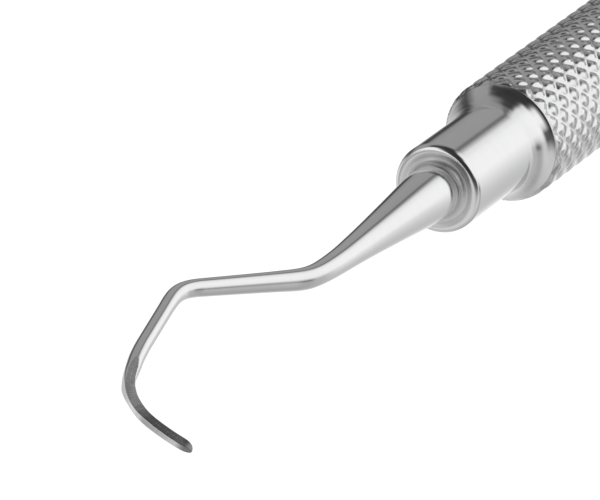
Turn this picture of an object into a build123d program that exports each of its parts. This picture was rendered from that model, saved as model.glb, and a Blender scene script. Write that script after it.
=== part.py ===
from build123d import *
import math
import os

# Hand scaler: a double-ended dental hand instrument in stainless steel.
# Frame: X runs along the handle towards the front working end, Z is up, and
# the origin is the middle of the handle on its axis. Both shank bends lie in
# the XY plane, so the instrument rests flat on a bench on its handle.
# All lengths are in millimetres.

# ---- handle tube --------------------------------------------------------
handle_r = 8.0 / 2        # over the crests of the knurl
bore_r = 6.4 / 2          # hollow handle, 0.8 wall
nose_face = 49.0          # X of the front nose's face
tube_setback = 9.35       # nose face back to the end of the tube
tube_end = nose_face - tube_setback
joint_r = 7.541 / 2       # outside of the joint between the tube and the nose
tube_end_slope = 34.0     # the tube's end slopes in to the joint, degrees from the axis
tube_end_fillet = 0.45    # rounding where that slope meets the outside
tube_inner_break = 0.15   # small break on the bore's edges

# ---- nose ferrule -------------------------------------------------------
nose_r = 5.72 / 2         # smooth cylinder in front of the shoulder
nose_len = 7.4            # nose face to where the hollow shoulder begins
rim_proud = 0.14          # how far the rounded rim stands in front of the face
rim_r = 0.48              # rounding of the rim
rim_flat = 0.08           # flat between the rim's rounding and its inner edge
lip_r = 0.08              # rounding of the rim's inner edge
dish_r = 4.28 / 2         # the dished face ends here, at the joining ring
spigot_len = 8.0          # length that goes inside the tube
spigot_break = 0.4        # lead-in chamfer on the spigot
drill_point = 118.0       # included angle of the drilled bore's end
bore_extra = 0.5          # clearance behind the tang

# ---- joining ring at the shank's root -----------------------------------
ring_rise = 0.50          # how far it climbs up the shank
ring_top_r = 3.46 / 2     # its radius where it meets the shank
ring_hollow_r = 0.55      # its surface is hollow, at this radius

# ---- tang and shank -----------------------------------------------------
tang_r = 3.40 / 2         # tang and the short parallel root of the shank
tang_len = 12.5           # depth of the tang inside the ferrule
tang_break = 0.3          # chamfer on the tang's buried end
root_len = 1.5            # parallel root in front of the nose face
straight_len = 12.6       # straight part of the shank, in front of the nose face
shank_step = 0.75         # spacing of the lofted sections past the straight part

# Shank centre line, as (X in front of the nose face, Y): straight along the
# axis, a 27 degree bend towards -Y, a 40 degree bend back, the terminal
# shank, and then the curve of the blade.
straight_end = (straight_len, 0.0)
bend_1 = [
    (14.89, -0.050), (16.26, -0.155), (17.00, -0.280), (17.50, -0.415), (17.95, -0.585),
]
lower_start = (18.786, -0.985)
lower_end = (24.643, -3.987)
bend_2 = [
    (25.30, -4.270), (25.87, -4.425), (26.44, -4.484), (27.07, -4.448), (27.70, -4.345),
]
terminal_start = (28.612, -4.150)
terminal_end = (33.29, -3.088)
blade_curve = [
    (34.15, -2.870), (34.95, -2.645), (35.78, -2.375), (36.26, -2.215),
    (36.93, -1.985), (37.59, -1.715), (37.98, -1.525), (38.47, -1.220),
    (38.90, -0.865), (39.30, -0.440), (39.63, 0.005), (39.90, 0.475),
    (40.07, 0.915), (40.19, 1.400), (40.27, 1.880), (40.33, 2.360),
    (40.36, 2.800), (40.36, 3.400), (40.28, 4.120),
]
toe_direction = (-0.14, 0.99)

# Round shank, as (distance along the centre line, radius). Past 38 the round
# blank runs out inside the ground blade.
shank_radius = [
    (root_len, tang_r), (2.2, 1.655), (3.25, 1.577), (4.2, 1.490), (5.5, 1.375),
    (6.75, 1.270), (8.9, 1.090), (10.7, 0.957), (12.7, 0.829), (14.1, 0.766),
    (15.3, 0.725), (16.3, 0.694), (17.3, 0.684), (18.4, 0.664), (19.3, 0.638),
    (20.6, 0.610), (22.5, 0.584), (24.2, 0.562), (25.5, 0.548), (26.4, 0.534),
    (27.4, 0.522), (28.4, 0.502), (29.6, 0.478), (30.5, 0.475), (35.6, 0.474),
    (36.5, 0.462), (37.0, 0.450), (37.5, 0.436), (38.2, 0.400), (39.0, 0.350),
    (40.0, 0.300), (41.0, 0.250), (42.5, 0.100),
]

# ---- ground blade -------------------------------------------------------
# The face looks back at the handle, the back looks away from it, and the
# two sides lean in a little towards the back. Pairs are (start, toe).
blade_start = 36.3        # where the ground section leaves the round blank
blade_start_size = 0.80   # share of full size at the start
blade_grown = 1.9         # it is at full size this much further on
blade_depth = (0.58, 0.55)       # face to back
blade_face_w = (0.68, 0.67)      # width across the face
blade_back_w = (0.42, 0.38)      # width across the back
blade_corner = 0.06       # bevel where each side meets the back
corner_flare = 0.3        # the bevel's outer end stands out by this share of it
blade_steps = 16          # even steps from the start to the rounded toe
toe_round = 1.05          # the toe rounds off over this length
# Toe sections, as shares of toe_round left in front of them.
toe_left = (0.86, 0.7, 0.52, 0.36, 0.22, 0.11, 0.04)
# Where the two surfaces end at the tip, as shares of half the depth,
# both on the back side of the centre line.
tip_back = 0.55
tip_face = 0.45


def near(a, b):
    return abs(a - b) < 1e-6


def direction(start, end):
    return (end[0] - start[0], end[1] - start[1])


def centre_line():
    """The centre line as one wire, from the nose face to the toe."""
    lower_slope = direction(lower_start, lower_end)
    terminal_slope = direction(terminal_start, terminal_end)
    with BuildLine() as line:
        Line((0, 0), straight_end)
        Spline(straight_end, *bend_1, lower_start, tangents=((1, 0), lower_slope))
        Line(lower_start, lower_end)
        Spline(lower_end, *bend_2, terminal_start, tangents=(lower_slope, terminal_slope))
        Line(terminal_start, terminal_end)
        Spline(terminal_end, *blade_curve, tangents=(terminal_slope, toe_direction))
    return line.wires()[0]


path = centre_line()
path_len = path.length
blade_len = path_len - blade_start


def section_plane(distance):
    """Plane across the centre line at a distance along it: local x is up (Z),
    and local y points from the face side of the blade to its back."""
    point = path.position_at(distance / path_len)
    along = path.tangent_at(distance / path_len)
    return Plane(origin=(nose_face + point.X, point.Y, 0), x_dir=(0, 0, 1),
                 z_dir=(along.X, along.Y, 0))


def shank_radius_at(distance):
    """Straight-line interpolation in the shank's radius table."""
    for (d0, r0), (d1, r1) in zip(shank_radius, shank_radius[1:]):
        if distance <= d1:
            return r0 + (r1 - r0) * (distance - d0) / (d1 - d0)
    return shank_radius[-1][1]


def blade_stations():
    """Distances of the blade's sections from its start."""
    body_len = blade_len - toe_round
    body = [body_len * i / blade_steps for i in range(blade_steps + 1)]
    return body + [blade_len - toe_round * share for share in toe_left]


def blade_outline(station):
    """Closed outline of the blade section at a distance from its start."""
    def tapered(ends):
        return ends[0] + (ends[1] - ends[0]) * station / blade_len

    left = blade_len - station
    shrink = 1.0
    if left < toe_round:
        shrink = math.sqrt(1 - (1 - left / toe_round) ** 2)
    grow = min(1.0, blade_start_size + (1 - blade_start_size) * station / blade_grown)

    # the face side rounds over to the back side, which runs on to the tip
    half_depth = tapered(blade_depth) / 2
    back_y = half_depth * (tip_back + (1 - tip_back) * shrink) * grow
    face_y = -half_depth * (shrink - tip_face * (1 - shrink)) * grow
    face_x = tapered(blade_face_w) / 2 * shrink * grow
    back_x = tapered(blade_back_w) / 2 * shrink * grow
    bevel = blade_corner * shrink
    flare = bevel * corner_flare
    return [
        (face_x, face_y), (back_x + flare, back_y - bevel), (back_x - bevel, back_y),
        (-back_x + bevel, back_y), (-back_x - flare, back_y - bevel),
        (-face_x, face_y), (face_x, face_y),
    ]


def make_handle_tube():
    """Hollow handle, plain here at the crest diameter."""
    slope_run = (handle_r - joint_r) / math.tan(math.radians(tube_end_slope))
    slope_start = tube_end - slope_run
    with BuildPart() as tube:
        with BuildSketch(Plane.XZ) as wall:
            with BuildLine():
                Polyline(
                    (-tube_end, bore_r), (-tube_end, joint_r), (-slope_start, handle_r),
                    (slope_start, handle_r), (tube_end, joint_r), (tube_end, bore_r),
                    (-tube_end, bore_r),
                )
            make_face()
            shoulders = wall.vertices().filter_by(lambda v: near(v.Z, handle_r))
            fillet(shoulders, radius=tube_end_fillet)
            mouths = wall.vertices().filter_by(lambda v: near(v.Z, bore_r))
            chamfer(mouths, length=tube_inner_break)
        revolve(axis=Axis.X)
    return tube.part


def make_nose_ferrule():
    """Front nose with its hollow shoulder, and the spigot inside the tube."""
    rim_x = nose_face + rim_proud
    foot_x = nose_face - nose_len
    spigot_back = tube_end - spigot_len
    # the shoulder's arc is tangent to the nose and ends at the tube's joint
    shoulder_run = tube_setback - nose_len
    shoulder_rise = joint_r - nose_r
    shoulder_r = (shoulder_run ** 2 + shoulder_rise ** 2) / (2 * shoulder_rise)
    half_sweep = math.asin(shoulder_run / shoulder_r) / 2
    shoulder_middle = (foot_x - shoulder_r * math.sin(half_sweep),
                       nose_r + shoulder_r * (1 - math.cos(half_sweep)))

    with BuildPart() as ferrule:
        with BuildSketch(Plane.XZ) as wall:
            with BuildLine():
                Polyline(
                    (nose_face, tang_r), (nose_face, dish_r),
                    (rim_x, nose_r - rim_r - rim_flat), (rim_x, nose_r), (foot_x, nose_r),
                )
                ThreePointArc((foot_x, nose_r), shoulder_middle, (tube_end, joint_r))
                Polyline(
                    (tube_end, joint_r), (tube_end, bore_r), (spigot_back, bore_r),
                    (spigot_back, tang_r), (nose_face, tang_r),
                )
            make_face()
            rim = wall.vertices().filter_by(lambda v: near(v.X, rim_x) and near(v.Z, nose_r))
            fillet(rim, radius=rim_r)
            lip = wall.vertices().filter_by(
                lambda v: near(v.X, rim_x) and v.Z < nose_r - rim_r)
            fillet(lip, radius=lip_r)
            tail = wall.vertices().filter_by(
                lambda v: near(v.X, spigot_back) and near(v.Z, bore_r))
            chamfer(tail, length=spigot_break)
        revolve(axis=Axis.X)

        # the spigot's back end is closed, which leaves a drilled blind bore
        bore_end = nose_face - tang_len - bore_extra
        point_len = tang_r / math.tan(math.radians(drill_point / 2))
        with BuildSketch(Plane.XZ):
            with BuildLine():
                Polyline(
                    (spigot_back, 0), (spigot_back, tang_r), (bore_end, tang_r),
                    (bore_end - point_len, 0), (spigot_back, 0),
                )
            make_face()
        revolve(axis=Axis.X)
    return ferrule.part


def make_braze_ring():
    """Joining ring: a small fillet of filler metal round the shank's root."""
    ring_front = nose_face + ring_rise
    outer_edge = (nose_face, dish_r)
    top_edge = (ring_front, ring_top_r)
    with BuildPart() as ring:
        with BuildSketch(Plane.XZ):
            with BuildLine():
                Line((nose_face, tang_r), outer_edge)
                RadiusArc(outer_edge, top_edge, -ring_hollow_r)
                Line(top_edge, (ring_front, tang_r))
                Line((ring_front, tang_r), (nose_face, tang_r))
            make_face()
        revolve(axis=Axis.X)
    return ring.part


def make_working_end():
    """Front tang, root, tapered shank and blade, in one piece."""
    tang_back = nose_face - tang_len
    taper_end = (nose_face + straight_len, shank_radius_at(straight_len))
    taper = [(nose_face + d, r) for d, r in shank_radius if d <= straight_len]
    with BuildPart() as working_end:
        # tang inside the ferrule, the short parallel root, and the long taper
        with BuildSketch(Plane.XZ):
            with BuildLine():
                Polyline(
                    taper_end, (taper_end[0], 0), (tang_back, 0),
                    (tang_back, tang_r - tang_break), (tang_back + tang_break, tang_r),
                    (nose_face + root_len, tang_r),
                )
                Spline(*taper, taper_end)
            make_face()
        revolve(axis=Axis.X)

        # round shank past the straight part, in even steps down its centre line
        round_len = shank_radius[-1][0] - straight_len
        count = round(round_len / shank_step)
        for i in range(count + 1):
            distance = straight_len + round_len * i / count
            with BuildSketch(section_plane(distance)):
                Circle(shank_radius_at(distance))
        loft()

        # ground blade, from inside the terminal shank to the toe
        for station in blade_stations():
            with BuildSketch(section_plane(blade_start + station)):
                with BuildLine():
                    Polyline(*blade_outline(station))
                make_face()
        loft()
    return working_end.part


def make_rear(front_part):
    """The same piece at the rear end, turned half a turn about Z."""
    with BuildPart() as rear:
        add(front_part.rotate(Axis.Z, 180))
    return rear.part


# ---- build the pieces and write one file for each -----------------------
end_pieces = {
    "nose_ferrule": make_nose_ferrule(),
    "braze_ring": make_braze_ring(),
    "working_end": make_working_end(),
}
pieces = {"handle_tube": make_handle_tube()}
for name, part in end_pieces.items():
    pieces["front_" + name] = part
    pieces["rear_" + name] = make_rear(part)

os.makedirs("parts", exist_ok=True)
for name, part in pieces.items():
    part.label = name
    export_step(part, f"parts/{name}.step")
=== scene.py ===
"""A double-ended hand instrument with a knurled handle and a hooked tip at each end.

The handle's axis is X, with its middle at the origin. The front end is at +X. The rear end is
the same pieces turned half a turn about Z. Shapes are worked out in millimetres, and become
metres in make_mesh.
"""
import bpy
import bmesh
import math
import numpy as np
from mathutils import Matrix, Vector


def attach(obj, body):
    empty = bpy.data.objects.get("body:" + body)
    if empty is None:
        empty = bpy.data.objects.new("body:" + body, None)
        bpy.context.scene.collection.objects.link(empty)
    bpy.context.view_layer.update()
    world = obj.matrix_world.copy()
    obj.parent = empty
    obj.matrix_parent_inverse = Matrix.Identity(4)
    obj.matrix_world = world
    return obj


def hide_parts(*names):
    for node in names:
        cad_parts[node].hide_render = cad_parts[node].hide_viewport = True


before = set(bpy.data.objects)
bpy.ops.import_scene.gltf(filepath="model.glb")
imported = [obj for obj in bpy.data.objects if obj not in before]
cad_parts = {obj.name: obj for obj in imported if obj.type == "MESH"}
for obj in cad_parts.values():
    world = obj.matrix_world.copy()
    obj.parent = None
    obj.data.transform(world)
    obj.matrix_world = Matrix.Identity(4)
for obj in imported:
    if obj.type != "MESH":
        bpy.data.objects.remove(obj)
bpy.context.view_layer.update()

MM = 0.001
TAU = 2 * math.pi

# ---- main dimensions, mm ----------------------------------------------------
NOSE_X = 49.0                    # front face of the nose
NOSE_R = 2.86
NOSE_LEN = 7.4                   # straight part of the nose
HANDLE_R = 4.0
BORE_R = 3.2
JOINT_R = 3.7705                 # outside of the joint between the nose and the handle
TUBE_X = NOSE_X - 9.35           # end of the handle tube
TUBE_END_SLOPE = math.radians(34.0)
TANG_R = 1.70
TANG_LEN = 12.5

# hollow curve that meets the nose tangentially and reaches JOINT_R at the tube's end
FLARE_START = NOSE_X - NOSE_LEN
FLARE_RISE = JOINT_R - NOSE_R
FLARE_R = ((FLARE_START - TUBE_X) ** 2 + FLARE_RISE ** 2) / (2 * FLARE_RISE)


# ============================ geometry helpers ===============================
def soft_min(a, b, width):
    """The smaller of a and b, blended where they differ by less than width."""
    h = np.clip(0.5 + 0.5 * (b - a) / width, 0, 1)
    return b * (1 - h) + a * h - width * h * (1 - h)


def smooth_step(x, start, end):
    t = np.clip((x - start) / (end - start), 0, 1)
    return t * t * (3 - 2 * t)


def rounded(points, steps=16):
    """Polyline from (x, r, fillet radius), with the corners rounded that have a fillet."""
    out = []
    for i, (x, y, fillet) in enumerate(points):
        if fillet <= 0:
            out.append((x, y))
            continue
        corner = np.array((x, y), float)
        before = np.array(points[i - 1][:2], float) - corner
        after = np.array(points[i + 1][:2], float) - corner
        before /= np.linalg.norm(before)
        after /= np.linalg.norm(after)
        middle = before + after
        half = math.acos(float(before @ after)) / 2
        reach = fillet / math.tan(half)
        centre = corner + middle / np.linalg.norm(middle) * (fillet / math.sin(half))
        first = corner + before * reach - centre
        last = corner + after * reach - centre
        angle = math.atan2(first[1], first[0])
        turn = math.atan2(last[1], last[0]) - angle
        turn = (turn + math.pi) % TAU - math.pi
        for k in range(steps + 1):
            t = angle + turn * k / steps
            out.append((centre[0] + fillet * math.cos(t), centre[1] + fillet * math.sin(t)))
    return out


def supported(points, closed, gap=0.035, spacing=0.6):
    """Adds points along each long run and close to its ends, so that smooth shading stays true."""
    out = []
    for a, b in zip(points, points[1:] + (points[:1] if closed else [])):
        a, b = np.array(a, float), np.array(b, float)
        out.append(tuple(a))
        length = np.linalg.norm(b - a)
        if length > 6 * gap:
            along = (b - a) / length
            out.append(tuple(a + along * gap))
            for k in range(1, int(length / spacing) + 1):
                if gap * 2 < k * spacing < length - gap * 2:
                    out.append(tuple(a + along * (k * spacing)))
            out.append(tuple(b - along * gap))
    if not closed:
        out.append(tuple(points[-1]))
    return out


def bridge(a, b):
    """Faces between two rings of vertex numbers. Either ring may be a single point."""
    count = max(len(a), len(b))
    faces = []
    for k in range(count):
        k2 = (k + 1) % count
        if len(a) == 1:
            faces.append((a[0], b[k], b[k2]))
        elif len(b) == 1:
            faces.append((a[k], a[k2], b[0]))
        else:
            faces.append((a[k], a[k2], b[k2], b[k]))
    return faces


def make_mesh(name, verts, faces, attributes, turned=False):
    """A smooth, closed mesh object. turned: half a turn about Z, for the rear end."""
    places = np.array(verts, float) * MM
    if turned:
        places[:, :2] *= -1
    mesh = bpy.data.meshes.new(name)
    mesh.from_pydata(places.tolist(), [], faces)
    mesh.validate()
    for key, values in attributes.items():
        attribute = mesh.attributes.new(key, "FLOAT", "POINT")
        attribute.data.foreach_set("value", np.asarray(values, np.float32))
    mesh.polygons.foreach_set("use_smooth", [True] * len(mesh.polygons))
    bm = bmesh.new()
    bm.from_mesh(mesh)
    bmesh.ops.recalc_face_normals(bm, faces=bm.faces)
    if bm.calc_volume(signed=True) < 0:
        bmesh.ops.reverse_faces(bm, faces=bm.faces)
    bm.to_mesh(mesh)
    bm.free()
    mesh.update()
    ob = bpy.data.objects.new(name, mesh)
    bpy.context.scene.collection.objects.link(ob)
    return ob


def lathe(name, profile, closed=False, turned=False, segments=240):
    """Turns a profile of (x, r) about the X axis. An open profile starts and ends on the axis."""
    verts, rings, along, around = [], [], [], []
    for x, r in supported(profile, closed):
        count = 1 if r < 1e-9 else segments
        rings.append(range(len(verts), len(verts) + count))
        for k in range(count):
            t = TAU * k / segments
            verts.append((x, r * math.sin(t), r * math.cos(t)) if count > 1 else (x, 0, 0))
            along.append(x)
            around.append(k / segments)
    faces = []
    for a, b in zip(rings, rings[1:] + (rings[:1] if closed else [])):
        faces += bridge(a, b)
    # the middle of the nose's face and the ring on it are satin
    places = np.array(verts, float)
    radius = np.hypot(places[:, 1], places[:, 2])
    satin = np.where(places[:, 0] > NOSE_X - 0.03, np.clip((2.56 - radius) / 0.14, 0, 1), 0.0)
    return make_mesh(name, verts, faces, {"along": along, "around": around, "satin": satin},
                     turned)


# ============================ nose and ring ==================================
PLUG_LEN = 8.0                   # part of the ferrule inside the handle
PLUG_CHAMFER = 0.4
RIM_X = NOSE_X + 0.14            # the nose's rim stands out round a dished face
RIM_IN_R = 2.36
DISH_R, DISH_IN_R = 2.07, 1.98
RIM_FILLET, DISH_FILLET = 0.42, 0.28
HOLE_END_X = NOSE_X - TANG_LEN - 0.5
HOLE_CONE_LEN = TANG_R / math.tan(math.radians(59.0))

RING_R = 2.10                    # outer edge of the ring on the nose's face
RING_RISE, RING_WIDTH = 0.40, 0.385
RING_OVERLAP = 0.02              # sunk into the nose and the shank


def ferrule(name, turned):
    """The nose, its flare up to the handle, the plug in the handle and the tang's blind hole."""
    flare_x = np.linspace(TUBE_X, FLARE_START, 40)
    flare_r = NOSE_R + FLARE_R - np.sqrt(FLARE_R ** 2 - (FLARE_START - flare_x) ** 2)
    plug_x = TUBE_X - PLUG_LEN
    profile = [
        (plug_x, 0.0, 0), (plug_x, BORE_R - PLUG_CHAMFER, 0), (plug_x + PLUG_CHAMFER, BORE_R, 0),
        (TUBE_X, BORE_R, 0),
        *((x, r, 0) for x, r in zip(flare_x, flare_r)),
        (RIM_X, NOSE_R, RIM_FILLET), (RIM_X, RIM_IN_R, DISH_FILLET),
        (NOSE_X, DISH_R, DISH_FILLET), (NOSE_X, DISH_IN_R, 0),
        (NOSE_X, TANG_R, 0), (HOLE_END_X, TANG_R, 0), (HOLE_END_X - HOLE_CONE_LEN, 0.0, 0),
    ]
    return lathe(name, rounded(profile), turned=turned)


def braze_ring(name, turned):
    """A hollow fillet between the nose's dished face and the root of the shank."""
    profile = []
    for k in range(33):
        t = math.pi / 2 * k / 32
        profile.append((NOSE_X + RING_RISE * (1 - math.cos(t)), RING_R - RING_WIDTH * math.sin(t)))
    profile += [
        (NOSE_X + RING_RISE + 0.03, TANG_R - RING_OVERLAP),
        (NOSE_X - RING_OVERLAP, TANG_R - RING_OVERLAP),
        (NOSE_X - RING_OVERLAP, RING_R - 0.01),
    ]
    return lathe(name, profile, closed=True, turned=turned)


# ============================ knurled handle =================================
PITCH = 1.575                    # of the diamonds, along the axis
DIAMONDS = 18                    # round the handle
STEP_DEG = 360.0 / DIAMONDS
KNURL_X0, KNURL_PHI0 = 38.0, 20.55      # middle of one diamond, mm and degrees
ARC = TAU * HANDLE_R / DIAMONDS
LINE_GAP = 1 / math.hypot(1 / PITCH, 1 / ARC)    # between grooves of one hand
GROOVE_W = 0.15
GROOVE_SOFT = 0.022              # softening of the groove's edge
CORNER_SOFT = 0.26               # blend between the flanks at a diamond's corners
KNURL_DEPTH = 0.055              # worn almost smooth, so its outline is nearly straight
KNURL_SHADE = 0.24               # the height that its facets are shaded from
KNURL_ROUND = 0.26               # how fast each diamond's flank rolls over to its top
CREST_REACH = 0.42               # distance from the groove at which full height is reached
CREST_VARIATION = 0.02           # difference between diamonds, as a share of the depth

# mesh lines across each diamond, as shares of its width from its middle
GRID_OFFSETS = np.array([-0.5, -0.43, -0.31, -0.12, 0.12, 0.31, 0.43])
GRID_OVERRUN = 1.0               # length trimmed off, at least, at each end
END_CHAMFER = 0.15               # at the mouth of the bore
END_EDGE = 0.05                  # from the outer edge to the first ring on the end face


def wobble(i, j):
    """A repeatable number from -1 to 1 for each whole pair, from a sine hash."""
    v = np.sin(i * 12.9898 + j * 78.233 + 37.719) * 43758.5453
    return 2 * (v - np.floor(v)) - 1


def knurl_radius(x, phi, depth=KNURL_DEPTH):
    """Radius of the handle's outside at x (mm) and phi (degrees from Z towards Y)."""
    lengthwise = (x - KNURL_X0) / PITCH
    around = (phi - KNURL_PHI0) / STEP_DEG
    around = (around + DIAMONDS / 2) % DIAMONDS - DIAMONDS / 2
    screw_a, screw_b = lengthwise + around, lengthwise - around
    cell_a, cell_b = np.floor(screw_a + 0.5), np.floor(screw_b + 0.5)
    # the keys repeat once round, so that the screw lines close on themselves
    variation = wobble((cell_a + cell_b) % 1000, (cell_a - cell_b) % (2 * DIAMONDS))
    from_a = (0.5 - np.abs(screw_a - cell_a)) * LINE_GAP
    from_b = (0.5 - np.abs(screw_b - cell_b)) * LINE_GAP
    inset = soft_min(from_a, from_b, CORNER_SOFT) - GROOVE_W / 2
    inset = 0.5 * (inset + np.sqrt(inset * inset + GROOVE_SOFT ** 2))
    height = (1 - np.exp(-inset / KNURL_ROUND)) / (1 - math.exp(-CREST_REACH / KNURL_ROUND))
    r = HANDLE_R - depth * (1 - np.minimum(height, 1.0) * (1 + CREST_VARIATION * variation))
    # the handle's sloping end, rounded over into its outside
    slope = JOINT_R + (TUBE_X - np.abs(x)) * math.tan(TUBE_END_SLOPE)
    end = soft_min(slope, HANDLE_R, 0.09)
    return np.minimum(soft_min(r, end, 0.02), HANDLE_R)


def knurl_grid():
    """Outside of the handle as a net along both screws: vertices, faces and the rims' vertices."""
    lines = len(GRID_OFFSETS)
    count = DIAMONDS * lines             # vertices in one zigzag ring
    first = math.floor((-TUBE_X - GRID_OVERRUN - KNURL_X0) * 2 / PITCH * lines)
    last = math.ceil((TUBE_X + GRID_OVERRUN - KNURL_X0) * 2 / PITCH * lines)
    first -= first % 2
    row_numbers = np.arange(first, last + 1)
    rows, columns = np.meshgrid(row_numbers, np.arange(count), indexing="ij")
    across = rows % 2 + 2 * columns
    line_a, line_b = (rows + across) // 2, (rows - across) // 2
    screw_a = np.floor(line_a / lines) + GRID_OFFSETS[line_a % lines]
    screw_b = np.floor(line_b / lines) + GRID_OFFSETS[line_b % lines]
    x = (KNURL_X0 + PITCH * (screw_a + screw_b) / 2).ravel()
    phi = (KNURL_PHI0 + STEP_DEG * (screw_a - screw_b) / 2).ravel()
    r = knurl_radius(x, phi)
    verts = np.c_[x, r * np.sin(np.radians(phi)), r * np.cos(np.radians(phi))]
    k = np.arange(count)
    faces = []
    for i, row in enumerate(row_numbers[:-2]):
        base = i * count
        right = (k + row % 2) % count
        left = (k + row % 2 - 1) % count
        faces.append(np.c_[base + k, base + count + right, base + 2 * count + k,
                           base + count + left])
    mesh = bpy.data.meshes.new("grid")
    mesh.from_pydata(verts.tolist(), [], np.concatenate(faces).tolist())
    bm = bmesh.new()
    bm.from_mesh(mesh)
    bpy.data.meshes.remove(mesh)
    for sign in (1, -1):
        bmesh.ops.bisect_plane(bm, geom=bm.verts[:] + bm.edges[:] + bm.faces[:], dist=1e-5,
                               plane_co=(sign * TUBE_X, 0, 0), plane_no=(sign, 0, 0),
                               clear_outer=True)
    bm.verts.index_update()
    verts = np.array([v.co for v in bm.verts], float)
    faces = [tuple(v.index for v in f.verts) for f in bm.faces]
    rim = sorted({v.index for e in bm.edges if e.is_boundary for v in e.verts})
    bm.free()
    return verts, faces, rim


def knurl_normals(x, phi, r):
    """Normals straight from the height of the knurl, so that its facets shade cleanly."""
    reach = 0.012
    reach_deg = np.degrees(reach / r)
    slope_x = (knurl_radius(x + reach, phi, KNURL_SHADE)
               - knurl_radius(x - reach, phi, KNURL_SHADE)) / (2 * reach)
    slope_phi = (knurl_radius(x, phi + reach_deg, KNURL_SHADE)
                 - knurl_radius(x, phi - reach_deg, KNURL_SHADE)) / (2 * reach)
    sine, cosine = np.sin(np.radians(phi)), np.cos(np.radians(phi))
    normals = np.c_[-slope_x, sine - slope_phi * cosine, cosine + slope_phi * sine]
    return normals / np.linalg.norm(normals, axis=1)[:, None]


def zip_rings(verts, a, b):
    """Triangles between two rings about X whose points sit at different angles."""
    def by_angle(ring):
        angles = [math.atan2(verts[i][1], verts[i][2]) % TAU for i in ring]
        order = list(np.argsort(angles))
        ring, angles = [ring[i] for i in order], [angles[i] for i in order]
        return ring + ring[:1], angles + [angles[0] + TAU]

    a, angles_a = by_angle(a)
    b, angles_b = by_angle(b)
    faces = []
    i = j = 0
    while i < len(a) - 1 or j < len(b) - 1:
        if j == len(b) - 1 or (i < len(a) - 1 and angles_a[i + 1] <= angles_b[j + 1]):
            faces.append((a[i], a[i + 1], b[j]))
            i += 1
        else:
            faces.append((a[i], b[j + 1], b[j]))
            j += 1
    return faces


def handle(name, end_segments=144):
    outside, faces, rim = knurl_grid()
    phi = np.degrees(np.arctan2(outside[:, 1], outside[:, 2]))
    r = knurl_radius(outside[:, 0], phi)
    r[rim] = JOINT_R
    outside[:, 1] = r * np.sin(np.radians(phi))
    outside[:, 2] = r * np.cos(np.radians(phi))
    verts = outside.tolist()
    normals = knurl_normals(outside[:, 0], phi, r).tolist()

    def add_ring(x, radius, normal_x, normal_r):
        start = len(verts)
        for k in range(end_segments):
            sine, cosine = math.sin(TAU * k / end_segments), math.cos(TAU * k / end_segments)
            verts.append([x, radius * sine, radius * cosine])
            normals.append([normal_x, normal_r * sine, normal_r * cosine])
        return list(range(start, len(verts)))

    bore_ends = []
    for sign in (1, -1):
        edge = [i for i in rim if outside[i, 0] * sign > 0]
        outer = add_ring(sign * TUBE_X, JOINT_R - END_EDGE, sign, 0)
        mouth = add_ring(sign * TUBE_X, BORE_R + END_CHAMFER, sign, 0)
        bore = add_ring(sign * (TUBE_X - END_CHAMFER), BORE_R, 0, -1)
        faces += zip_rings(verts, edge, outer) + bridge(outer, mouth) + bridge(mouth, bore)
        bore_ends.append(bore)
    faces += bridge(*bore_ends)
    x, y, z = np.array(verts).T
    ob = make_mesh(name, verts, faces, {
        "along": x,
        "around": np.degrees(np.arctan2(y, z)) / 360.0,
        "low": np.clip((HANDLE_R - np.hypot(y, z)) / KNURL_DEPTH, 0, 1)})
    ob.data.normals_split_custom_set_from_vertices(normals)
    return ob


# ============================ working end ====================================
# Centre line in the XY plane as (x beyond the nose's face, y): straight, a bend to -Y,
# straight (LOWER), a bend back, straight (TERMINAL), then the blade hooking round to +Y.
STRAIGHT_END = (12.6, 0.0)
BEND_1 = [(14.89, -0.050), (16.26, -0.155), (17.00, -0.280), (17.50, -0.415), (17.95, -0.585)]
LOWER = ((18.786, -0.985), (24.643, -3.987))
BEND_2 = [(25.30, -4.270), (25.87, -4.425), (26.44, -4.484), (27.07, -4.448), (27.70, -4.345)]
TERMINAL = ((28.612, -4.150), (33.29, -3.088))
BLADE = [
    (34.15, -2.870), (34.95, -2.645), (35.78, -2.375), (36.26, -2.215),
    (36.93, -1.985), (37.59, -1.715), (37.98, -1.525), (38.47, -1.220),
    (38.90, -0.865), (39.30, -0.440), (39.63, 0.005), (39.90, 0.475),
    (40.07, 0.915), (40.19, 1.400), (40.27, 1.880), (40.33, 2.360),
    (40.36, 2.800), (40.36, 3.400), (40.28, 4.120),
]
TOE_DIR = (-0.14, 0.99)          # direction of the centre line at the tip

# (distance along the centre line, radius)
RADIUS = [
    (0.0, 1.700), (1.5, 1.700), (2.2, 1.655), (3.25, 1.577), (4.2, 1.490), (5.5, 1.375),
    (6.75, 1.270), (8.9, 1.090), (10.7, 0.957), (12.7, 0.829), (14.1, 0.766),
    (15.3, 0.725), (16.3, 0.694), (17.3, 0.684), (18.4, 0.664), (19.3, 0.638),
    (20.6, 0.610), (22.5, 0.584), (24.2, 0.562), (25.5, 0.548), (26.4, 0.534),
    (27.4, 0.522), (28.4, 0.502), (29.6, 0.478), (30.5, 0.475), (35.6, 0.474),
    (36.5, 0.466), (37.5, 0.458), (39.0, 0.452), (46.5, 0.450),
]
ROOT_LEN = 1.5                   # still at the tang's radius

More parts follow.
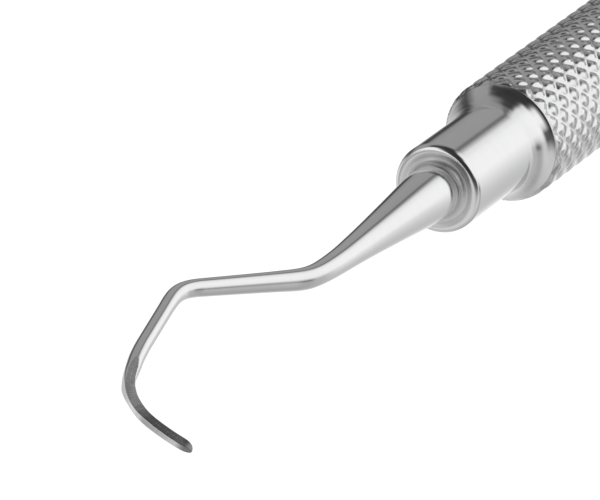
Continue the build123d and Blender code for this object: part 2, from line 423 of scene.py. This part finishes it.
# Flats ground on the blade: distances along the centre line, then the flat's distance from it.
SIDE_FLAT = ([30.0, 36.0, 36.6, 37.6, 39.5, 46.5], [3.0, 0.50, 0.466, 0.380, 0.345, 0.338])
BACK_FLAT = ([30.0, 36.8, 37.6, 38.6, 39.6, 40.6, 46.5],       # outside of the hook
             [3.0, 0.48, 0.44, 0.375, 0.315, 0.280, 0.272])
FACE_FLAT = ([30.0, 37.0, 38.0, 39.2, 40.6, 46.5],             # inside of the hook
             [3.0, 0.48, 0.42, 0.325, 0.285, 0.278])
HINGE = FACE_FLAT[1][-1]         # the leaned side flats hinge on the edge at the face
LEAN_DEG = 17.0
LEAN_RUN = (38.7, 41.0)          # where the lean sets in
LEAN_FROM = 38.2                 # no leaned flats before this
LEAN_SKEW, LEAN_SKEW_REACH = 0.60, 0.33     # the lean sets in later towards the back
NO_CUT = 3.0                     # a flat at this distance misses the blade
FAR = 9.0

TOE_LEN = 1.05                   # the tip rounds off over this, seen along Z
TOE_LEN_Z = 0.55                 # and over this in thickness
TOE_SHIFT = 0.14                 # sideways, towards the back
TIP_GAP = 0.002                  # from the last ring to the end point
DULL_START, DULL_END = 1.15, 0.45       # distances from the tip

# (start along the centre line, spacing) for each run of cross-sections
STATION_RUNS = [(0.0, 0.30), (STRAIGHT_END[0], 0.14), (18.6, 0.30), (24.8, 0.12), (29.4, 0.25),
                (35.6, 0.055)]
# (distance from the tang's hidden end, how far the radius is inside TANG_R)
TANG_RINGS = [(0.0, 0.3), (0.035, 0.265), (0.3, 0), (0.335, 0), (4.0, 0), (8.0, 0), (11.0, 0),
              (12.3, 0)]


def clamped_spline(points, start_dir, end_dir, samples=24):
    """Smooth curve through the points with given end directions."""
    points = np.array(points, float)
    count = len(points)
    span = np.linalg.norm(np.diff(points, axis=0), axis=1)
    system = np.zeros((count, count))
    target = np.zeros((count, 2))
    system[0, 0] = system[-1, -1] = 1
    target[0] = np.array(start_dir) / np.linalg.norm(start_dir)
    target[-1] = np.array(end_dir) / np.linalg.norm(end_dir)
    for i in range(1, count - 1):
        before, after = span[i - 1], span[i]
        system[i, i - 1:i + 2] = after, 2 * (before + after), before
        target[i] = 3 * ((points[i + 1] - points[i]) / after * before
                         + (points[i] - points[i - 1]) / before * after)
    tangent = np.linalg.solve(system, target)
    out = []
    for i in range(count - 1):
        for t in np.linspace(0, 1, samples, endpoint=False):
            out.append((2 * t ** 3 - 3 * t ** 2 + 1) * points[i]
                       + (t ** 3 - 2 * t ** 2 + t) * span[i] * tangent[i]
                       + (-2 * t ** 3 + 3 * t ** 2) * points[i + 1]
                       + (t ** 3 - t ** 2) * span[i] * tangent[i + 1])
    out.append(points[-1])
    return np.array(out)


def centre_line():
    """Points of the centre line and the distance along it to each."""
    lower_dir = np.subtract(LOWER[1], LOWER[0])
    terminal_dir = np.subtract(TERMINAL[1], TERMINAL[0])
    straight = np.array([(0, 0), STRAIGHT_END], float)
    bend_1 = clamped_spline([STRAIGHT_END] + BEND_1 + [LOWER[0]], (1, 0), lower_dir)
    bend_2 = clamped_spline([LOWER[1]] + BEND_2 + [TERMINAL[0]], lower_dir, terminal_dir)
    blade = clamped_spline([TERMINAL[1]] + BLADE, terminal_dir, TOE_DIR)
    points = np.concatenate([straight, bend_1[1:], bend_2, blade])
    return points, np.r_[0, np.cumsum(np.linalg.norm(np.diff(points, axis=0), axis=1))]


def blade_section(along, theta):
    """Radius at each place of the ground blade, and 1 where a flat has cut it."""
    table_x, table_r = np.array(RADIUS).T
    blur = 0.35                          # rounds the corners of the table
    r = sum(np.interp(along + k * blur, table_x, table_r) for k in np.linspace(-1, 1, 9)) / 9
    r = np.where(along < ROOT_LEN, TANG_R, r)
    side, back, face = (np.interp(along, *flat) for flat in (SIDE_FLAT, BACK_FLAT, FACE_FLAT))
    skew = LEAN_SKEW * (np.sin(theta) * np.minimum(r, LEAN_SKEW_REACH))
    lean = LEAN_DEG * smooth_step(along - skew, *LEAN_RUN)
    lean_rad = np.radians(lean)
    leaned = np.where(along > LEAN_FROM, side * np.cos(lean_rad) - HINGE * np.sin(lean_rad),
                      NO_CUT)
    ground = np.zeros_like(r)
    # direction the flat faces (degrees from Z towards the back), its distance, edge softness
    for facing, distance, soft in ((0.0, side, 0.006), (180.0, side, 0.006),
                                   (lean, leaned, 0.008), (180.0 - lean, leaned, 0.008),
                                   (-90.0, face, 0.006), (90.0, back, 0.05)):
        cosine = np.cos(theta - np.radians(facing))
        flat = np.where(cosine > 0.05, distance / np.maximum(cosine, 0.05), FAR)
        ground = np.where(flat < r, 1.0, ground)
        r = soft_min(r, np.minimum(flat, FAR), soft)
    return r, ground


def vertex_rows(*columns):
    """One row for each vertex: x, y, z, along, around, ground, dull."""
    return np.stack(np.broadcast_arrays(*columns), axis=-1).reshape(-1, len(columns))


def working_end(name, turned, segments=128):
    line, line_at = centre_line()
    total = line_at[-1]
    ends = [start for start, _ in STATION_RUNS[1:]] + [total - TOE_LEN]
    stations = [np.arange(start, end, gap) for (start, gap), end in zip(STATION_RUNS, ends)]
    stations.append(total - TOE_LEN * (1 - np.sin(np.linspace(0.0, math.pi / 2 * 0.985, 26))))
    s = np.concatenate(stations)
    theta = TAU * (np.arange(segments) + 0.5) / segments     # from Z towards the back
    around = theta / TAU

    line_x, line_y = (np.interp(s, line_at, values) for values in line.T)
    reach = 0.06
    dir_x, dir_y = (np.interp(s + reach, line_at, values) - np.interp(s - reach, line_at, values)
                    for values in line.T)
    last = s > total - reach
    dir_x[last], dir_y[last] = TOE_DIR
    length = np.hypot(dir_x, dir_y)
    dir_x, dir_y = dir_x / length, dir_y / length

    along, angle = np.meshgrid(s, theta, indexing="ij")
    r, ground = blade_section(along, angle)
    left = np.clip((total - along) / TOE_LEN, 0, 1)
    shrink = np.sqrt(np.clip(1 - (1 - left) ** 2, 0, 1))
    left_z = np.clip((total - along) / TOE_LEN_Z, 0, 1)
    shrink_z = np.sqrt(np.clip(1 - (1 - left_z) ** 2.2, 0, 1))
    backward = r * np.sin(angle) * shrink + TOE_SHIFT * (1 - shrink)
    dull = smooth_step(s, total - DULL_START, total - DULL_END)

    tang_at, inset = np.array(TANG_RINGS).T[:, :, None]
    tang_r = TANG_R - inset
    rows = np.concatenate([
        vertex_rows(NOSE_X - TANG_LEN, 0, 0, -TANG_LEN, 0, 0, 0),
        vertex_rows(NOSE_X - TANG_LEN + tang_at, -tang_r * np.sin(theta), tang_r * np.cos(theta),
                    tang_at - TANG_LEN, around, 0, 0),
        vertex_rows(NOSE_X + line_x[:, None] + backward * dir_y[:, None],
                    line_y[:, None] - backward * dir_x[:, None],
                    r * np.cos(angle) * shrink_z, along, around, ground, dull[:, None]),
        vertex_rows(NOSE_X + line_x[-1] + TOE_SHIFT * dir_y[-1] + TIP_GAP * dir_x[-1],
                    line_y[-1] - TOE_SHIFT * dir_x[-1] + TIP_GAP * dir_y[-1],
                    0, total, 0, 1, 1)])
    tip = len(rows) - 1
    rings = [[0], *(range(i, i + segments) for i in range(1, tip, segments)), [tip]]
    faces = [face for a, b in zip(rings, rings[1:]) for face in bridge(a, b)]
    attributes = dict(zip(("along", "around", "ground", "dull"), rows[:, 3:].T))
    return make_mesh(name, rows[:, :3], faces, attributes, turned)


# ============================ materials ======================================
class Graph:
    """Builds a node tree. Inputs may be given as values or as sockets to link from."""

    def __init__(self, owner):
        owner.use_nodes = True
        self.tree = owner.node_tree
        self.tree.nodes.clear()

    def put(self, socket, value):
        if isinstance(value, bpy.types.NodeSocket):
            self.tree.links.new(value, socket)
        else:
            socket.default_value = value

    def node(self, kind, inputs=None, **settings):
        made = self.tree.nodes.new(kind)
        for key, value in settings.items():
            setattr(made, key, value)
        for key, value in (inputs or {}).items():
            self.put(made.inputs[key], value)
        return made

    def math(self, operation, a, b=None, clamp=False):
        inputs = {0: a} if b is None else {0: a, 1: b}
        return self.node("ShaderNodeMath", inputs, operation=operation, use_clamp=clamp).outputs[0]

    def mul(self, a, b):
        return self.math("MULTIPLY", a, b)

    def layer(self, total, *layers, operation="ADD", clamp=False):
        """Adds (or subtracts) each (socket, amount) to the total."""
        for socket, amount in layers:
            total = self.math(operation, total, self.mul(socket, amount), clamp)
        return total

    def fade(self, value, start, end, low=0.0, high=1.0):
        """Smooth change from low to high as the value goes from start to end."""
        return self.node("ShaderNodeMapRange", {
            "Value": value, "From Min": start, "From Max": end, "To Min": low, "To Max": high,
        }, interpolation_type="SMOOTHSTEP").outputs["Result"]

    def noise(self, vector, scale, detail, rough):
        return self.node("ShaderNodeTexNoise", {
            "Vector": vector, "Scale": scale, "Detail": detail, "Roughness": rough}).outputs[0]

    def attribute(self, name):
        return self.node("ShaderNodeAttribute", attribute_name=name).outputs["Fac"]

    def mix(self, factor, a, b):
        return self.node("ShaderNodeMix", {"Factor": factor, "A": a, "B": b},
                         data_type="RGBA").outputs["Result"]


def new_material(name, inputs):
    """A material with one Principled shader: the material, its graph and the shader."""
    material = bpy.data.materials.new(name)
    g = Graph(material)
    output = g.node("ShaderNodeOutputMaterial")
    shader = g.node("ShaderNodeBsdfPrincipled", inputs)
    g.put(output.inputs[0], shader.outputs[0])
    return material, g, shader


def steel(name, base, rough, marks, wear, mark_scale=9.0, painted_groove_shade=0.0, ground=False):
    """Polished steel with fine marks across the piece's axis, rubbed patches, scratches and pits.

    base: brightness; marks, wear: strengths; mark_scale: marks along the axis;
    painted_groove_shade: painted shade in the knurl's grooves, patchy; ground: adds grinding bars
    and a dull tip.
    """
    material, g, shader = new_material(name, {"Metallic": 1.0})
    place = g.node("ShaderNodeTexCoord").outputs["Object"]
    along, around = g.attribute("along"), g.attribute("around")
    sine = g.math("SINE", g.mul(around, TAU))
    cosine = g.math("COSINE", g.mul(around, TAU))

    def cross_noise(lengthwise, crosswise, detail, rough):
        """Noise drawn out round the piece's axis."""
        vector = g.node("ShaderNodeCombineXYZ", {
            0: g.mul(along, lengthwise), 1: g.mul(sine, crosswise), 2: g.mul(cosine, crosswise)})
        return g.noise(vector.outputs[0], scale=1.0, detail=detail, rough=rough)

    rings = cross_noise(lengthwise=mark_scale, crosswise=0.9, detail=4.0, rough=0.6)
    patch = g.noise(place, scale=260.0, detail=3.0, rough=0.6)
    fine = g.noise(place, scale=2600.0, detail=2.0, rough=0.5)
    grit = g.noise(place, scale=9000.0, detail=1.0, rough=0.5)
    # pits: sparse small cells, only inside patches
    cells = g.node("ShaderNodeTexVoronoi", {"Scale": 420.0, "Vector": place})
    pit_size = g.fade(patch, start=0.60, end=0.74, high=0.10)
    pit = g.math("GREATER_THAN", g.math("SUBTRACT", pit_size, cells.outputs["Distance"]), 0.0)
    # scratches: long thin noise lines, turned a little from the axis
    stretched = g.node("ShaderNodeMapping", {
        "Vector": place, "Rotation": (0.3, 0.5, 0.35), "Scale": (120.0, 2400.0, 2400.0)})
    streaks = g.noise(stretched.outputs[0], scale=1.0, detail=1.0, rough=0.4)
    scratch = g.fade(streaks, start=0.70, end=0.76)

    roughness = g.layer(
        rough,
        (g.fade(patch, start=0.40, end=0.68), 0.07 * wear),
        (g.fade(rings, start=0.45, end=0.72), 0.06 * marks),
        (scratch, 0.12 * wear), (pit, 0.35), (g.attribute("satin"), 0.24))
    shade = g.mul(g.fade(rings, start=0.42, end=0.80), 0.25 * marks)
    shade = g.layer(shade, (pit, 0.8), clamp=True)
    height = g.mul(rings, 0.0010 * marks)

    if ground:
        bars = cross_noise(lengthwise=5.2, crosswise=0.45, detail=3.0, rough=0.65)
        flats = g.attribute("ground")
        height = g.layer(height, (g.mul(bars, flats), 0.010))
        bar_shade = g.mul(g.fade(bars, start=0.42, end=0.66), flats)
        shade = g.layer(shade, (bar_shade, 0.35), clamp=True)
        dull = g.attribute("dull")
        roughness = g.layer(roughness, (flats, 0.06), (dull, 0.16))
    # painted shade: the knurl's grooves are darkened the deeper they lie, in patches, and
    # roughened a little
    if painted_groove_shade > 0:
        low = g.attribute("low")
        groove_shade_amount = g.mul(g.mul(low, g.fade(patch, start=0.35, end=0.7, low=0.2)), painted_groove_shade)
        shade = g.math("ADD", shade, groove_shade_amount, clamp=True)
        roughness = g.layer(roughness, (groove_shade_amount, 0.15))

    dark = base * 0.80
    colour = g.mix(shade, (base, base, base * 1.004, 1), (dark, dark, dark * 0.99, 1))
    if ground:
        colour = g.mix(dull, colour, (base * 0.32, base * 0.32, base * 0.33, 1))

    height = g.layer(height, (fine, 0.0010 * wear), (grit, 0.0002 * wear))
    height = g.layer(height, (pit, 0.012), (scratch, 0.0012 * wear), operation="SUBTRACT")
    bump = g.node("ShaderNodeBump", {"Strength": 1.0, "Distance": 0.001, "Height": height})
    g.put(shader.inputs["Base Color"], colour)
    g.put(shader.inputs["Roughness"], roughness)
    g.put(shader.inputs["Normal"], bump.outputs[0])
    return material


# ============================ build ==========================================
# the knurled handle's grooves get painted shade
knurl_steel = steel("knurled_steel", base=0.80, rough=0.13, marks=0.3, wear=0.8, painted_groove_shade=0.10)
nose_steel = steel("polished_steel", base=0.82, rough=0.075, marks=0.6, wear=0.5,
                   mark_scale=11.0)
braze = steel("braze", base=0.74, rough=0.16, marks=0.3, wear=0.9, mark_scale=6.0)
blade_steel = steel("blade_steel", base=0.82, rough=0.085, marks=0.45, wear=0.6, mark_scale=7.0,
                    ground=True)


def place_piece(ob, cad_name, material):
    ob.data.materials.append(material)
    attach(ob, "root")
    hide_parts(cad_name)


place_piece(handle("grip"), "handle_tube", knurl_steel)
for build, stem, cad_stem, slot_name, material in (
        (ferrule, "nose", "nose_ferrule", "polished_steel", nose_steel),
        (braze_ring, "ring", "braze_ring", "braze", braze),
        (working_end, "tip", "working_end", "blade_steel", blade_steel)):
    for end, turned in (("front", False), ("rear", True)):
        place_piece(build(f"{stem}_{end}", turned), f"{end}_{cad_stem}", material)


# ============================ world ==========================================
# The studio and the camera share axes turned this far about X, Z leaning towards +Y.
STUDIO_ROLL = math.radians(27)
ROLL_COS, ROLL_SIN = math.cos(STUDIO_ROLL), math.sin(STUDIO_ROLL)

# Soft panels and flags of a small product studio on six cones about X, from -X to +X:
# (degrees round X from the turned Z towards the turned Y, sRGB grey from 0 to 255).
PANELS = [
    [(-180, 236), (-168, 205), (-161, 160), (-153, 92), (-147, 62), (-136, 62), (-129, 104),
     (-122, 140), (-100, 148), (-58, 147), (-52, 110), (-48, 106), (-44, 140), (-37, 190),
     (-31, 222), (-16, 238), (0, 242), (32, 243), (46, 232), (61, 218), (76, 204), (92, 194),
     (108, 188), (125, 190), (140, 204), (155, 228), (180, 236)],
    [(-180, 236), (-166, 205), (-148, 180), (-139, 108), (-132, 66), (-125, 70), (-119, 124),
     (-112, 144), (-90, 144), (-62, 136), (-52, 108), (-44, 104), (-37, 172), (-30, 220),
     (-14, 238), (0, 240), (30, 238), (42, 220), (50, 186), (60, 178), (90, 176), (108, 172),
     (125, 176), (141, 198), (159, 226), (180, 236)],
    [(-180, 225), (-160, 210), (-150, 190), (-142, 166), (-135, 128), (-129, 80), (-123, 70),
     (-117, 112), (-108, 148), (-86, 146), (-68, 116), (-56, 66), (-42, 60), (-37, 100),
     (-31, 214), (-16, 238), (0, 242), (28, 238), (38, 205), (43, 170), (48, 112), (52, 118),
     (58, 160), (70, 166), (95, 166), (112, 160), (128, 168), (146, 200), (180, 225)],
    [(-180, 205), (-150, 225), (-143, 205), (-135, 178), (-128, 108), (-122, 72), (-117, 108),
     (-109, 150), (-90, 148), (-83, 84), (-74, 56), (-40, 54), (-34, 90), (-27, 214),
     (-12, 240), (0, 244), (25, 244), (35, 228), (45, 200), (56, 198), (70, 202), (90, 194),
     (108, 188), (125, 176), (150, 178), (180, 205)],
    [(-180, 195), (-150, 205), (-138, 190), (-128, 118), (-118, 146), (-104, 152), (-92, 146),
     (-84, 66), (-62, 50), (-26, 52), (-19, 100), (-10, 226), (0, 242), (12, 240), (22, 200),
     (30, 90), (42, 84), (52, 150), (64, 196), (90, 198), (125, 182), (150, 182), (180, 195)],
    [(-180, 205), (-168, 175), (-154, 156), (-135, 170), (-120, 220), (-98, 242), (-82, 225),
     (-70, 110), (-58, 60), (-30, 48), (0, 46), (30, 56), (50, 90), (75, 180), (110, 205),
     (150, 205), (180, 205)],
]
# x of the view direction over which each cone gives way to the next
BLENDS = [(-0.80, -0.64), (-0.58, -0.38), (-0.30, 0.00), (0.06, 0.24), (0.34, 0.56)]


def linear(grey):
    """Linear brightness of an sRGB grey."""
    c = grey / 255.0
    return c / 12.92 if c <= 0.04045 else ((c + 0.055) / 1.055) ** 2.4


def panel_ramp(g, turn, stops):
    ramp = g.node("ShaderNodeValToRGB", {0: turn})
    ramp.color_ramp.interpolation = "LINEAR"
    elements = ramp.color_ramp.elements
    while len(elements) > 1:
        elements.remove(elements[-1])
    for i, (degrees, grey) in enumerate(stops):
        position = (degrees + 180) / 360
        element = elements[0] if i == 0 else elements.new(position)
        element.position = position
        element.color = (*[linear(grey)] * 3, 1)
    return ramp.outputs[0]


def build_world():
    """Panels for lighting and reflections, plain white for the camera."""
    world = bpy.data.worlds.new("studio")
    bpy.context.scene.world = world
    g = Graph(world)
    output = g.node("ShaderNodeOutputWorld")
    direction = g.node("ShaderNodeTexCoord").outputs["Generated"]
    x, y, z = g.node("ShaderNodeSeparateXYZ", {0: direction}).outputs
    turned_y = g.math("SUBTRACT", g.mul(y, ROLL_COS), g.mul(z, ROLL_SIN))
    turned_z = g.math("ADD", g.mul(y, ROLL_SIN), g.mul(z, ROLL_COS))
    angle = g.math("ARCTAN2", turned_y, turned_z)
    turn = g.math("ADD", g.mul(angle, 1 / TAU), 0.5)
    light = panel_ramp(g, turn, PANELS[0])
    for stops, (start, end) in zip(PANELS[1:], BLENDS):
        following = panel_ramp(g, turn, stops)
        light = g.mix(g.fade(x, start, end), light, following)
    panels = g.node("ShaderNodeBackground", {"Strength": 1.20, "Color": light})
    plain = g.node("ShaderNodeBackground", {"Strength": 1.0, "Color": (1.0, 1.0, 1.0, 1)})
    path = g.node("ShaderNodeLightPath")
    mix = g.node("ShaderNodeMixShader", {
        0: path.outputs["Is Camera Ray"], 1: panels.outputs[0], 2: plain.outputs[0]})
    g.put(output.inputs[0], mix.outputs[0])


def build_floor():
    """A wide, faintly shaded white floor that the steel doesn't reflect."""
    bpy.ops.mesh.primitive_plane_add(size=60.0, location=(0, 0, -0.030))
    floor = bpy.context.object
    floor.name = "floor"
    material, _, _ = new_material("floor_white", {
        "Roughness": 0.9, "Base Color": (0.5, 0.5, 0.5, 1),
        "Emission Color": (1, 1, 1, 1), "Emission Strength": 0.85})
    floor.data.materials.append(material)
    floor.visible_glossy = False


# ============================ camera =========================================
# In the view's frame (right, down, away), the +X end points to the left, down and nearer.
AXIS_SLOPE = math.radians(35.94)         # below the horizontal
AXIS_LEAN = math.radians(56.97)          # towards the camera
NOSE_IN_VIEW = np.array([8.34715, -3.704429, 425.4])     # middle of the front nose's face, mm
LENS = 418.92
SENSOR_WIDTH = 36.0


def build_camera():
    slope_cos, slope_sin = math.cos(AXIS_SLOPE), math.sin(AXIS_SLOPE)
    lean_cos, lean_sin = math.cos(AXIS_LEAN), math.sin(AXIS_LEAN)
    # the handle's axis and the studio's turned Y and Z, in the view's frame
    axis = np.array([-lean_cos * slope_cos, lean_cos * slope_sin, -lean_sin])
    turned_y = np.array([slope_sin, slope_cos, 0.0])
    turned_z = np.array([lean_sin * slope_cos, -lean_sin * slope_sin, -lean_cos])
    view = np.c_[axis, ROLL_COS * turned_y + ROLL_SIN * turned_z,
                 -ROLL_SIN * turned_y + ROLL_COS * turned_z]
    right, down, away = view
    eye = np.array([NOSE_X, 0, 0]) - view.T @ NOSE_IN_VIEW
    data = bpy.data.cameras.new("camera")
    camera = bpy.data.objects.new("camera", data)
    bpy.context.scene.collection.objects.link(camera)
    data.sensor_width = SENSOR_WIDTH
    data.lens = LENS
    data.clip_start, data.clip_end = 0.01, 100.0
    rotation = Matrix((right, -down, -away)).transposed()
    camera.matrix_world = Matrix.Translation(Vector((eye * MM).tolist())) @ rotation.to_4x4()
    bpy.context.scene.camera = camera


build_world()
build_floor()
build_camera()
bpy.context.scene.view_settings.view_transform = "Standard"
